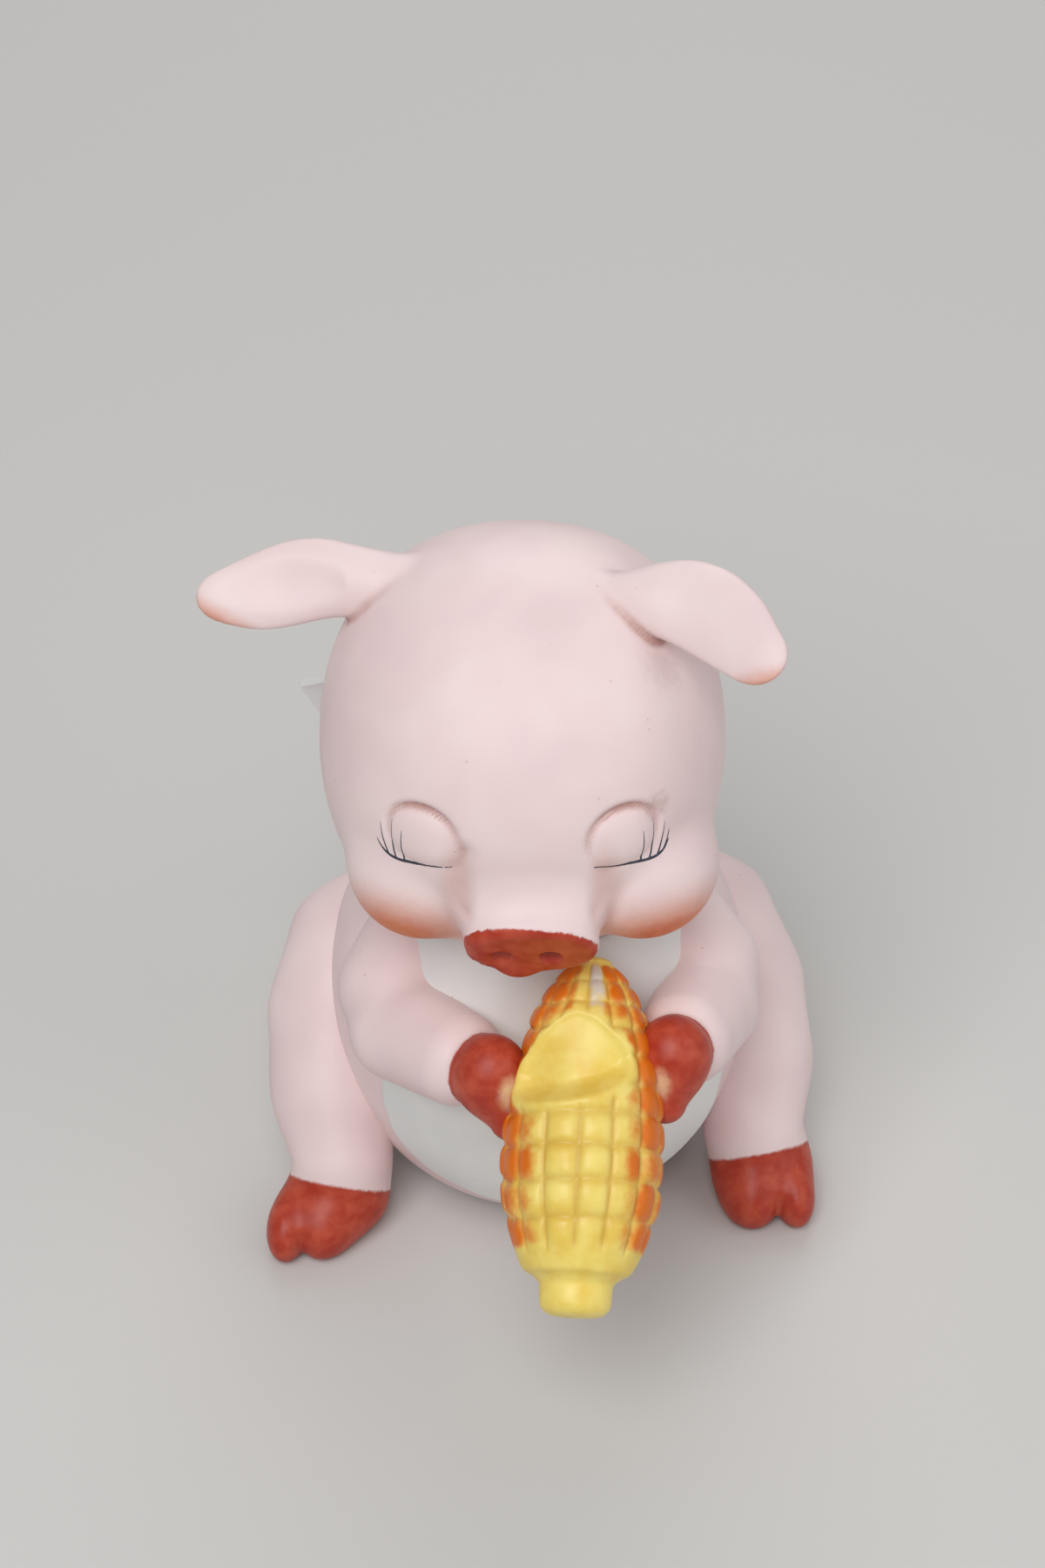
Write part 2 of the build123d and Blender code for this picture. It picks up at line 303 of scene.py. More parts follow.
def addRange(tree, value, low, high):  # smooth 0 to 1
    node = tree.nodes.new("ShaderNodeMapRange")
    node.interpolation_type = "SMOOTHSTEP"
    feed(tree, node.inputs["Value"], value)
    node.inputs["From Min"].default_value = low
    node.inputs["From Max"].default_value = high
    return node.outputs["Result"]


def addMix(tree, share, first, second, blend="MIX"):
    node = tree.nodes.new("ShaderNodeMix")
    node.data_type = "RGBA"
    node.blend_type = blend
    feed(tree, node.inputs["Factor"], share)
    feed(tree, node.inputs["A"], first)
    feed(tree, node.inputs["B"], second)
    return node.outputs["Result"]


def addNoise(tree, place, size, detail=3.0, rough=0.55):  # size in mm
    node = tree.nodes.new("ShaderNodeTexNoise")
    feed(tree, node.inputs["Vector"], place)
    node.inputs["Scale"].default_value = 1 / size
    node.inputs["Detail"].default_value = detail
    node.inputs["Roughness"].default_value = rough
    return node.outputs["Fac"]


def addPlace(tree):  # object coordinates in mm
    coords = tree.nodes.new("ShaderNodeTexCoord")
    node = tree.nodes.new("ShaderNodeVectorMath")
    node.operation = "SCALE"
    tree.links.new(coords.outputs["Object"], node.inputs[0])
    node.inputs["Scale"].default_value = 1 / mm
    return node.outputs[0]


def addAttribute(tree, name):
    node = tree.nodes.new("ShaderNodeAttribute")
    node.attribute_name = name
    return node.outputs["Fac"]


def addBump(tree, shader, height, strength, depth):  # depth in mm
    node = tree.nodes.new("ShaderNodeBump")
    node.inputs["Strength"].default_value = strength
    node.inputs["Distance"].default_value = depth * mm
    tree.links.new(height, node.inputs["Height"])
    tree.links.new(node.outputs["Normal"], shader.inputs["Normal"])


def paintColor(red, green, blue):  # from 0 to 255 as a paint chart gives them
    shares = [channel / 255 for channel in (red, green, blue)]
    return [s / 12.92 if s <= 0.04045 else ((s + 0.055) / 1.055) ** 2.4 for s in shares] + [1.0]


# Bisque: unglazed porcelain, tinted in the slip, with airbrush and brush paint over it

bisqueLook = {
    "pale": (239, 219, 218),
    "deep": (231, 207, 208),
    "cloudSize": 14.0,  # mm, of the change from pale to deep
    # painted shade: the colour that creases and hollows are darkened towards
    "hollowShade": (188, 144, 136),
    "hollowShadeShare": 0.95,
    "speck": (164, 84, 78),
    "speckScale": 0.5,
    "speckRarity": 0.8,
    "speckShare": 0.3,
    "grainSize": 0.9,
    "streakSize": 2.2,
    "roughness": 0.5,
    "tooth": {"size": 0.35, "strength": 0.12, "depth": 0.08},  # the dry, unglazed skin
}


def spotShare(tree, place, grain, paint):  # airbrushed or smudged spot
    away = addVector(tree, "SUBTRACT", place, paint["at"])
    away = addVector(tree, "MULTIPLY", away, [1 / size for size in paint["size"]])
    away = addVector(tree, "LENGTH", away, (0, 0, 0), output=1)
    away = addMath(tree, "ADD", away, addMath(tree, "MULTIPLY", grain, paint["ragged"]))
    share = addRange(tree, away, 1 + paint["soft"], 1 - paint["soft"])
    return addMath(tree, "MULTIPLY", share, paint["strength"])


def edgeShare(tree, place, grain, paint):  # brush paint on one side of an edge
    away = addVector(tree, "SUBTRACT", place, paint["at"])
    away = addVector(tree, "DOT_PRODUCT", away, paint["toward"], output=1)
    away = addMath(tree, "ADD", away, addMath(tree, "MULTIPLY", grain, paint["ragged"]))
    return addMath(tree, "MULTIPLY", addRange(tree, away, -paint["soft"], paint["soft"]), paint["strength"])


def bisqueFinish(name, look, paints=()):
    material, tree, shader = newFinish(name, look["roughness"])
    place = addPlace(tree)
    clouds = addNoise(tree, place, look["cloudSize"], 2.0)
    grain = addMath(tree, "SUBTRACT", addNoise(tree, place, look["grainSize"], 4.0, 0.65), 0.5)
    pale, deep = paintColor(*look["pale"]), paintColor(*look["deep"])
    color = addMix(tree, addRange(tree, clouds, 0.3, 0.72), pale, deep)
    # painted shade in creases and hollows, by how hollow the skin is
    hollowShade = addMath(tree, "MULTIPLY", addAttribute(tree, "crease"), look["hollowShadeShare"])
    color = addMix(tree, hollowShade, color, paintColor(*look["hollowShade"]))
    cells = tree.nodes.new("ShaderNodeTexVoronoi")
    tree.links.new(place, cells.inputs["Vector"])
    cells.inputs["Scale"].default_value = look["speckScale"]
    lot = addVector(tree, "DOT_PRODUCT", cells.outputs["Color"], (1, 0, 0), 1)
    chosen = addMath(tree, "GREATER_THAN", lot, look["speckRarity"])
    speck = addMath(tree, "MULTIPLY", addRange(tree, cells.outputs["Distance"], 0.11, 0.03), chosen)
    speck = addMath(tree, "MULTIPLY", speck, look["speckShare"])
    color = addMix(tree, speck, color, paintColor(*look["speck"]))
    dull = look["roughness"]
    for paint in paints:
        share = (edgeShare if "toward" in paint else spotShare)(tree, place, grain, paint)
        streaks = addRange(tree, addNoise(tree, place, look["streakSize"]), 0.3, 0.75)
        tone = addMix(tree, streaks, paintColor(*paint["color"]), paintColor(*paint["thin"]))
        color = addMix(tree, share, color, tone)
        if "sheen" in paint:
            dull = addMath(tree, "SUBTRACT", dull, addMath(tree, "MULTIPLY", share, paint["sheen"]))
    feed(tree, shader.inputs["Roughness"], dull)
    tree.links.new(color, shader.inputs["Base Color"])
    tooth = look["tooth"]
    addBump(tree, shader, addNoise(tree, place, tooth["size"], 3.0), tooth["strength"], tooth["depth"])
    return material


# Head with ears, in the head's own frame: centre of the skull, face to -y

headPlan = {
    "place": placeAt((-2.3, -4.0, 67.88), -6, 18),
    "voxel": 0.34,
    "skull": {"at": (0, 0, 0), "size": (23.2, 24.0, 23.6), "power": 2.2},
    "snout": {"form": "barrel", "at": (1.0, -14.4, 0.0), "size": (7.5, 13.9, 5.0), "edge": 1.4,
              "flare": (0.0, 0.7), "round": 2.3, "blend": 3.6},
    "cheek": {"at": (12.15, -15.1, -2.3), "size": (8.9, 8.9, 8.9), "blend": 1.8,
              "tight": ((7.8, -22.0, 1.0), 6.0, 0.9)},
    "cheekShift": 1.2,
    "valley": {"form": "bone", "at": (8.25, -21.9, 10.4), "to": (8.0, -24.6, 3.4), "radii": (1.35, 0.6),
               "blend": 1.6, "cut": True},
    "chin": {"at": (1.0, -15.5, -8.0), "size": (7.5, 6.5, 5.0), "blend": 3.0},
    "lip": {"at": (-0.5, -27.2, -4.5), "size": (2.0, 1.4, 1.1), "blend": 1.6},
    "nostril": {"at": (2.74, -28.45, -0.9), "size": (1.2, 1.2, 1.2), "blend": 0.5, "cut": True},
    "nostrilShift": 0.34,
}

eyePlan = {
    "spot": (11.25, -19.05, 9.9),
    "slant": -12,
    "lid": (4.9, 4.3, 3.2),
    "lidSink": 2.75,
    "socket": (4.9, 4.2, 2.4),
    "socketRise": 0.2,
    "socketShift": (-0.35, 0.6),  # along the lid, minus is towards the nose, and up
}

earPlan = {
    "lean": 30,
    "peelRise": 1.2,  # the ears start this far above the skull's skin
    "step": 4.2,
    "lumps": 15,
    "thick": (2.6, 2.3, 1.95, 1.7, 1.55, 1.4, 1.2),
    "blend": (1.7, 1.7, 1.5, 0.9, 0.7, 0.6, 0.5),
    "right": {"side": -1, "at": (0.74, 0.43, 0.61), "droop": 1, "sweep": 0,
              "reach": (-4.5, -1.0, 2.2, 5.5, 8.8, 12.2, 15.4),
              "drift": (0.6, 0.8, 1.2, 1.5, 1.0, 0.05, -0.4),
              "half": (2.6, 2.9, 3.5, 4.4, 4.7, 4.3, 3.1),
              "dish": {"at": (10.5, 0.8, 2.7), "size": (7.0, 3.0, 1.5)},
              "rim": {"at": (17.0, -2.3), "toward": (0.5, -0.85)}},
    "left": {"side": 1, "at": (0.54, 0.22, 0.85), "droop": 27, "sweep": 32,
             "reach": (-1.5, 0.8, 3.0, 5.9, 9.2, 12.7, 16.3),
             "drift": (-0.05, 0.8, 1.65, 2.25, 2.25, 1.6, 0.2),
             "half": (1.55, 2.6, 3.75, 4.65, 4.95, 4.6, 3.5),
             "notch": ((13.7, 10.7, 17.9), 6.0, 0.5),  # a crease at the top of its root
             "rim": {"at": (18.8, -1.8), "toward": (0.6, -0.8)}},
}


def skinSpot(spot, skull):  # moves a spot on to the skull's skin
    size = np.array(skull["size"])
    return np.array(spot) / ((np.abs(np.array(spot) / size) ** skull["power"]).sum() ** (1 / skull["power"]))


def eyeAxes(side, slant=0):  # along the lid, up the lid, outward
    spot = skinSpot(eyePlan["spot"], headPlan["skull"]) * (side, 1, 1)
    out = Vector(spot / np.array(headPlan["skull"]["size"]) ** 2).normalized()
    along = Vector((0, 0, 1)).cross(out).normalized() * side
    along = Matrix.Rotation(math.radians(side * slant), 3, out) @ along
    up = out.cross(along) * side
    return spot, np.array([along, up, out]).T


def eyeLumps(side):
    spot, axes = eyeAxes(side, eyePlan["slant"])
    along, lift = eyePlan["socketShift"]
    socketAt = spot + axes @ np.array((along, lift, eyePlan["socketRise"]))
    lidAt = spot - axes @ np.array((0, 0, eyePlan["lidSink"]))
    return [
        {"at": socketAt, "size": eyePlan["socket"], "axes": axes, "blend": 0.6, "cut": True},
        {"at": lidAt, "size": eyePlan["lid"], "axes": axes, "power": 2.3, "blend": 0.35},
    ]


def earMatrix(ear):
    side = ear["side"]
    across, back, up = np.array(ear["at"]) * np.array(headPlan["skull"]["size"])
    lean = Matrix.Rotation(math.radians(earPlan["lean"]), 4, "X")
    droop = Matrix.Rotation(math.radians(-side * ear["droop"]), 4, "Z")
    sweep = Matrix.Rotation(math.radians(-side * ear["sweep"]), 4, "Y")
    return Matrix.Translation((side * across, back, up)) @ lean @ droop @ sweep


def earLumps(ear):
    matrix = earMatrix(ear)
    axes = np.array(matrix.to_3x3())
    lumps = []
    rows = [ear["reach"], ear["drift"], ear["half"], earPlan["thick"], earPlan["blend"]]
    spread = np.linspace(0, len(rows[0]) - 1, earPlan["lumps"])
    table = np.transpose([np.interp(spread, range(len(row)), row) for row in rows])
    for reach, drift, half, thick, blend in table:
        at = np.array(matrix @ Vector((ear["side"] * reach, drift, 0)))
        lumps.append({"at": at, "size": (earPlan["step"], half, thick), "axes": axes, "blend": blend})
        if "notch" in ear:
            lumps[-1]["tight"] = ear["notch"]
    if "dish" in ear:
        x, y, z = ear["dish"]["at"]
        at = np.array(matrix @ Vector((ear["side"] * x, y, z)))
        lumps.append({"at": at, "size": ear["dish"]["size"], "axes": axes, "blend": 1.2, "cut": True})
    return lumps


def shifted(lump, across):
    x, y, z = lump["at"]
    other = dict(lump, at=(x + across, y, z))
    if "to" in lump:
        other["to"] = (lump["to"][0] + across, *lump["to"][1:])
    if "tight" in lump:
        (spotX, spotY, spotZ), reach, tightBlend = lump["tight"]
        other["tight"] = ((spotX + across, spotY, spotZ), reach, tightBlend)
    return other


def headLumps(withEars=True):
    plan = headPlan
    cheeks = [shifted(cheek, plan["cheekShift"]) for cheek in bothSides(plan["cheek"])]
    valleys = [shifted(valley, plan["snout"]["at"][0]) for valley in bothSides(plan["valley"])]
    lumps = [plan["skull"], plan["snout"], *cheeks, *valleys, plan["chin"], plan["lip"]]
    if withEars:
        lumps += earLumps(earPlan["right"]) + earLumps(earPlan["left"])
    lumps += eyeLumps(-1) + eyeLumps(1)
    return lumps + [shifted(pit, plan["nostrilShift"]) for pit in bothSides(plan["nostril"])]


headClay = pressClay("head", headLumps(), headPlan["voxel"])


def peelOff(obj, name, chosen):  # takes the chosen vertices' faces off as a piece of its own
    loops = np.empty(len(obj.data.loops), np.int32)
    obj.data.loops.foreach_get("vertex_index", loops)
    starts = np.empty(len(obj.data.polygons), np.int32)
    obj.data.polygons.foreach_get("loop_start", starts)
    picked = np.minimum.reduceat(chosen[loops], starts)
    pick(obj)
    bpy.ops.object.mode_set(mode="EDIT")
    bpy.ops.mesh.select_mode(type="FACE")
    bpy.ops.mesh.select_all(action="DESELECT")
    bpy.ops.object.mode_set(mode="OBJECT")
    obj.data.polygons.foreach_set("select", picked)
    bpy.ops.object.mode_set(mode="EDIT")
    bpy.ops.mesh.separate(type="SELECTED")
    bpy.ops.object.mode_set(mode="OBJECT")
    part = [other for other in bpy.context.selected_objects if other is not obj][0]
    part.name = part.data.name = name
    return part


def capOff(obj, sink=0.3):  # closes the open root a little under the skin
    pick(obj)
    count = len(obj.data.vertices)
    bpy.ops.object.mode_set(mode="EDIT")
    bpy.ops.mesh.select_mode(type="EDGE")
    bpy.ops.mesh.select_all(action="DESELECT")
    bpy.ops.mesh.select_non_manifold()
    bpy.ops.mesh.extrude_edges_indiv()
    bpy.ops.object.mode_set(mode="OBJECT")
    mesh = obj.data
    skin = np.empty(len(mesh.vertices) * 3, np.float32)
    mesh.attributes["skin"].data.foreach_get("vector", skin)
    skin = skin.reshape(-1, 3)
    points = readPoints(obj)
    points[count:] -= sink * skin[count:]
    writePoints(obj, points)
    bpy.ops.object.mode_set(mode="EDIT")
    bpy.ops.mesh.fill_holes(sides=0)
    bpy.ops.object.mode_set(mode="OBJECT")
    loops = np.empty(len(mesh.loops), np.int32)
    mesh.loops.foreach_get("vertex_index", loops)
    normals = skin[loops]  # the skin keeps its own normals at the rim
    for face in mesh.polygons:
        if max(face.vertices) >= count:
            normals[face.loop_start:face.loop_start + face.loop_total] = face.normal
    mesh.normals_split_custom_set(normals.tolist())
    mesh.attributes.remove(mesh.attributes["skin"])


keepAttribute(headClay, "crease", creases(headClay, 0.03))
writePoints(headClay, turned(readPoints(headClay), headPlan["place"]))
skinNormals = np.empty(len(headClay.data.vertices) * 3, np.float32)
headClay.data.vertices.foreach_get("normal", skinNormals)
headClay.data.attributes.new("skin", "FLOAT_VECTOR", "POINT").data.foreach_set("vector", skinNormals)
ears = {}
for earName in ("right", "left"):
    local = turned(readPoints(headClay), headPlan["place"].inverted())
    onEar = clayGap(local, headLumps(withEars=False)) > earPlan["peelRise"]
    onEar &= local[:, 0] * earPlan[earName]["side"] > 0
    ears[earName] = peelOff(headClay, "ear_" + earName + "_bisque", onEar)
for piece in (headClay, *ears.values()):
    capOff(piece)
headClay.name = headClay.data.name = "head_bisque"
print("head and ears pressed")


# Corn cob, in its own frame: stem at the origin, tip to +z, bite on the -y side

cobPlan = {
    "place": placeAt((1.4, -36.5, 37.79), -10, -54) @ Matrix.Translation((0, 0, -17.75)),
    "length": 35.5,
    "radius": 9.3,
    "belly": 12.8,
    "buttSpan": 16.3,
    "tipSpan": 23.4,
    "columns": 14,
    "rows": 10,
    "firstRow": 1.6,
    "tipRowShare": 0.55,
    "groove": 0.8,
    "columnTurn": 10.9,  # degrees, so that a groove runs down the middle of the upper side
    "cell": 14,  # steps across a kernel
    "stagger": 0.12,
    "liftSpread": 0.14,
    "padPower": 3.0,
    "stemSteps": 30,
    "stemShares": (0, 0.22, 0.32, 0.4, 0.46, 0.62, 0.72, 0.84),  # from the end face's middle to the first row
    "stemRadii": (0, 2.5, 3.4, 3.95, 4.1, 4.15, 4.9, 6.1),
    "stemHeights": (-4.7, -4.55, -4.2, -3.6, -2.8, -0.9, -0.2, 0.4),
    "tipSteps": 10,
    "tipRise": 0.9,
    "biteAt": 24.0,
    "biteDepth": 2.7,
    "biteHalfLength": 5.3,
    "biteTurn": (-14, 50),  # its middle and half width in degrees from the upper side
    "biteTaper": 0.36,  # narrower towards the tip
    "biteTilt": 0.022,  # mm up for each degree to the left flank
    "orange": (0.7, 1.4),  # least and most paint on a kernel
    "seed": 7,
}


def cobEnvelope(height):
    rise = height - cobPlan["belly"]
    span = np.where(rise > 0, cobPlan["tipSpan"], cobPlan["buttSpan"])
    return cobPlan["radius"] * np.sqrt(np.clip(1 - (rise / span) ** 2, 0.0, 1))


def rowEdges():
    weights = np.linspace(1, cobPlan["tipRowShare"], cobPlan["rows"])
    edges = np.concatenate([[0], np.cumsum(weights)]) / weights.sum()
    return cobPlan["firstRow"] + edges * (cobPlan["length"] - cobPlan["firstRow"])


def makeCob():
    plan = cobPlan
    across = plan["columns"] * plan["cell"]
    kernelSteps = plan["rows"] * plan["cell"]
    stemSteps, tipSteps = plan["stemSteps"], plan["tipSteps"]
    upward = stemSteps + kernelSteps + tipSteps
    clearSelection()
    bpy.ops.mesh.primitive_grid_add(x_subdivisions=across, y_subdivisions=upward, size=2)
    cob = bpy.context.object
    cob.name = cob.data.name = "corn_cob_bisque"
    grid = np.empty(len(cob.data.vertices) * 3)
    cob.data.vertices.foreach_get("co", grid)
    grid = grid.reshape(-1, 3)
    turn = (grid[:, 0] + 1) / 2 * plan["columns"]
    level = np.rint((grid[:, 1] + 1) / 2 * upward)
    edges = rowEdges()
    rowShare = np.clip((level - stemSteps) / kernelSteps, 0, 1) * plan["rows"]
    height = np.interp(rowShare, np.arange(plan["rows"] + 1), edges)
    radius = cobEnvelope(height)
    stem = np.clip(level / stemSteps, 0, 1)
    stemShares = (*plan["stemShares"], 1)
    stemR = np.interp(stem, stemShares, (*plan["stemRadii"], float(cobEnvelope(np.array(edges[0])))))
    stemZ = np.interp(stem, stemShares, (*plan["stemHeights"], edges[0]))
    below = level < stemSteps
    radius = np.where(below, stemR, radius)
    height = np.where(below, stemZ, height)
    tip = np.clip((level - stemSteps - kernelSteps) / tipSteps, 0, 1)
    radius = np.where(tip > 0, radius * np.sqrt(np.clip(1 - tip ** 2, 0, 1)), radius)
    height = height + tip * plan["tipRise"]
    # kernels
    chance = np.random.default_rng(plan["seed"])
    column = np.floor(turn).astype(int) % plan["columns"]
    stagger = chance.uniform(-plan["stagger"], plan["stagger"], plan["columns"])[column]
    sideways = turn - np.floor(turn)
    rowPlace = rowShare + stagger * np.sin(np.pi * sideways)
    row = np.clip(np.floor(rowPlace).astype(int), 0, plan["rows"] - 1)
    lengthways = np.clip(rowPlace - row, 0, 1)
    padAcross = 1 - np.abs(2 * sideways - 1) ** plan["padPower"]
    padAlong = 1 - np.abs(2 * lengthways - 1) ** plan["padPower"]
    pad = np.clip(padAcross, 0, 1) ** 0.55 * np.clip(padAlong, 0, 1) ** 0.5
    kernels = (plan["columns"], plan["rows"])
    lift = chance.uniform(-plan["liftSpread"], plan["liftSpread"], kernels)[column, row]
    inRows = (~below) & (tip <= 0)
    fade = smoothStep(0, 0.5, rowShare) * smoothStep(plan["rows"], plan["rows"] - 0.3, rowShare)
    angle = 2 * np.pi * turn / plan["columns"] + math.radians(plan["columnTurn"])
    signed = (np.degrees(angle) - 270 + 180) % 360 - 180  # degrees from the upper side
    facing = np.abs(signed)
    alongBite = (height - plan["biteAt"] - plan["biteTilt"] * signed) / plan["biteHalfLength"]
    biteMiddle, biteHalfTurn = plan["biteTurn"]
    narrowing = 1 - plan["biteTaper"] * np.clip(alongBite, -1.2, 1.2)
    acrossBite = (signed - biteMiddle) / (biteHalfTurn * narrowing)
    biteReach = alongBite ** 2 + acrossBite ** 2
    calm = smoothStep(1.45, 0.95, biteReach)  # no kernels in the bite and on its lips
    fade = fade * (1 - calm)
    envelope = radius
    depth = plan["groove"] * (0.55 + 0.45 * radius / plan["radius"])
    radius = radius - np.where(inRows, fade * ((1 - pad) * depth - lift * pad), 0)
    # bite: smooth, deepest near its steep lower rim, where rise is 0
    edge = np.sqrt(np.clip(1 - acrossBite ** 2, 0, 1))
    rise = np.clip((alongBite + edge) / np.maximum(2 * edge, 1e-6), 0, 1)
    eaten = edge ** 0.6 * smoothStep(0, 0.3, rise) * (1 - rise) ** 0.7 * 1.25
    scoop = envelope - plan["biteDepth"] * eaten + 0.4 * (1 - smoothStep(0, 0.12, eaten))
    bitten = np.where(inRows, softJoin(radius, scoop, 0.35), radius)
    bite = smoothStep(0.1, 0.6, radius - bitten)
    points = np.stack([bitten * np.cos(angle), bitten * np.sin(angle), height], 1)
    writePoints(cob, points)
    # the grooves' mask, which the corn finish darkens as painted shade
    keepAttribute(cob, "groove", np.where(inRows, fade * (1 - pad), 0) * (1 - bite))
    orange = chance.uniform(*plan["orange"], kernels)[column, row]
    dab = np.exp(-((sideways - 0.5) / 0.62) ** 2 - ((lengthways - 0.5) / 0.68) ** 2)
    flank = np.maximum(smoothStep(16, 56, facing), smoothStep(6.5, 8, rowShare) * smoothStep(8, 24, facing))
    orange = orange * flank * dab * np.where(inRows, fade, 0) * (1 - bite)
    # a pale streak along the upper side near the tip
    streakAcross = smoothStep(16, 3, np.abs(signed - 8))
    streakUp = smoothStep(27, 34, height) * (1 - smoothStep(34, 36, height))
    keepAttribute(cob, "paleMark", streakAcross * streakUp)
    keepAttribute(cob, "orange", orange)
    keepAttribute(cob, "bite", bite)
    pick(cob)
    bpy.ops.object.mode_set(mode="EDIT")
    bpy.ops.mesh.select_all(action="SELECT")
    bpy.ops.mesh.remove_doubles(threshold=0.004 * mm)
    bpy.ops.mesh.normals_make_consistent(inside=False)
    bpy.ops.object.mode_set(mode="OBJECT")
    bpy.ops.object.shade_smooth()
    applyModifier(cob, "SMOOTH", factor=0.4, iterations=2)
    writePoints(cob, turned(readPoints(cob), plan["place"]))
    return cob


cob = makeCob()
print("cob", len(cob.data.polygons), "faces")


# Body, arms, legs and tail, in the pig's frame

bodyPlan = {
    "voxel": 0.5,
    "girth": 23.0,  # height of the widest place
    "radius": 26.0,
    "rise": 31.0,
    "drop": 29.11,
    "seat": {"form": "floor", "at": 0, "blend": 1.2, "cut": True},
    "vent": {"at": (0, 8, 0), "size": (2.5, 2.5, 4.0), "blend": 0.4, "cut": True},
}
bodyEgg = {
    "form": "egg",
    "at": (0, 0, bodyPlan["girth"]),
    "size": (bodyPlan["radius"], bodyPlan["radius"], bodyPlan["rise"]),
    "dropShare": bodyPlan["drop"] / bodyPlan["rise"],
}
body = pressClay("body_bisque", [bodyEgg, bodyPlan["seat"], bodyPlan["vent"]], bodyPlan["voxel"])
bodyPoints = readPoints(body)
bodyPoints[:, 2] = np.maximum(bodyPoints[:, 2], bodyPlan["seat"]["at"])  # the vent's lip stays off the floor
writePoints(body, bodyPoints)

armPlan = {
    "voxel": 0.35,
    "right": {"side": -1, "hand": (-8.8, -30.9, 40.2), "tip": (-6.8, -34.2, 36.2),
              "paleMark": (-6.9, -34.9, 41.0)},
    "left": {"side": 1, "hand": (12.0, -31.9, 42.0), "tip": (10.8, -35.0, 38.0),
             "paleMark": (9.6, -36.4, 42.2)},
    "shoulder": (13.0, -4.5, 42.0),
    "bend": (18.6, -12.5, 37.0),
    "elbow": (18.0, -18.0, 35.6),
    "wristShare": 0.62,  # of the way from elbow to hand
    "redReach": 2.4,  # the red starts this far behind the hand's middle
}


def armLumps(arm):
    side = arm["side"]
    mirror = np.array((side, 1, 1))
    shoulder, bend, elbow = (np.array(armPlan[key]) * mirror for key in ("shoulder", "bend", "elbow"))
    hand = np.array(arm["hand"])
    wrist = elbow + (hand - elbow) * armPlan["wristShare"]
    return [
        {"form": "bone", "at": shoulder, "to": bend, "radii": (6.2, 6.6), "blend": 1},
        {"form": "bone", "at": elbow, "to": wrist, "radii": (6.3, 5.6), "blend": 1.6},
        {"at": hand, "size": (4.3, 4.4, 5.2), "blend": 0.9},
        {"form": "bone", "at": hand, "to": np.array(arm["tip"]), "radii": (3.9, 2.5), "blend": 1.5},
    ]


arms = {}
for name in ("right", "left"):
    arms[name] = pressClay("arm_" + name + "_bisque", armLumps(armPlan[name]), armPlan["voxel"])

legPlan = {
    "voxel": 0.4,
    "path": ((17.2, 10.9, 29.4), (22.1, 6.8, 25.8), (25.2, 0.8, 19.8),  # hip to ankle
             (26.0, -6.2, 13.8), (25.6, -13.2, 8.4)),
    "radii": (5.2, 7.1, 7.2, 6.7, 6.2),
    "hoof": (26.6, -15.9, 0),
    "toeOut": {"right": 15, "left": 4},
    "toes": {"right": ((-32.7, -18.4, 2.9), (-28.3, -18.3, 3.1)),  # the outer one, then the inner one
             "left": ((29.8, -19.4, 2.9), (24.5, -18.9, 3.1))},
    "toeSizes": ((2.7, 5.0, 4.1), (3.9, 5.2, 4.4)),
    "cleft": {"right": (-31.4, -22.8, 1.8), "left": (27.8, -23.6, 1.8)},
    "redEdge": {"right": {"at": (-26.1, -17.1, 8.0), "toward": (-0.23, -0.64, -0.73)},
                "left": {"at": (25.7, -17.2, 8.0), "toward": (0.11, -0.67, -0.73)}},
    "heel": {"at": (0, 1.2, 4.4), "size": (6.3, 6.4, 5.6)},
}


def legLumps(name):
    side = 1 if name == "left" else -1
    mirror = np.array((side, 1, 1))
    spots = [np.array(spot) * mirror for spot in legPlan["path"]]
    lumps = []
    for start, end, one, two in zip(spots, spots[1:], legPlan["radii"], legPlan["radii"][1:]):
        lumps.append({"form": "bone", "at": start, "to": end, "radii": (one, two), "blend": 5.0})
    place = placeAt(np.array(legPlan["hoof"]) * mirror, side * legPlan["toeOut"][name])
    axes = np.array(place.to_3x3())
    heel = legPlan["heel"]
    heelAt = np.array(place @ Vector(heel["at"]))
    lumps.append({"at": heelAt, "size": heel["size"], "axes": axes, "blend": 1.6})
    crease = (legPlan["cleft"][name], 3.0, 0.4)
    for at, size in zip(legPlan["toes"][name], legPlan["toeSizes"]):
        lumps.append({"at": at, "size": size, "axes": axes, "blend": 2.4, "tight": crease})
    lumps.append({"form": "floor", "at": 0, "blend": 0.8, "cut": True})
    return lumps


legs = {}
for name in ("right", "left"):
    legs[name] = pressClay("leg_" + name + "_bisque", legLumps(name), legPlan["voxel"])

tailPlan = {"height": 14.0, "curl": 4.6, "inner": 0.58, "steps": 9, "radii": (2.1, 1.1)}


def rumpDepth(x, height):  # how far back the torso's skin lies, below its girth
    low = (height - bodyPlan["girth"]) / bodyPlan["drop"]
    return bodyPlan["radius"] * math.sqrt(1 - low ** 2 - (x / bodyPlan["radius"]) ** 2)


def tailLumps():
    plan = tailPlan
    spots = []
    for share in np.linspace(0, 1, plan["steps"]):  # over the top to the right
        spots.append((plan["curl"] * math.cos(math.pi * share), plan["curl"] * math.sin(math.pi * share)))
    small = plan["curl"] * plan["inner"]
    for share in np.linspace(0, 1, plan["steps"])[1:]:  # and back below
        across = -plan["curl"] + small - small * math.cos(math.pi * share)
        spots.append((across, -small * math.sin(math.pi * share)))
    lumps = []
    radii = np.linspace(*plan["radii"], len(spots))
    lifts = np.linspace(0.2, 1.5, len(spots))
    for i in range(len(spots) - 1):
        ends = []
        for x, z in spots[i:i + 2]:
            height = plan["height"] + z
            ends.append((x, rumpDepth(x, height) + lifts[i], height))
        start, end = ends
        lumps.append({"form": "bone", "at": start, "to": end, "radii": radii[i:i + 2], "blend": 0.4})
    return lumps


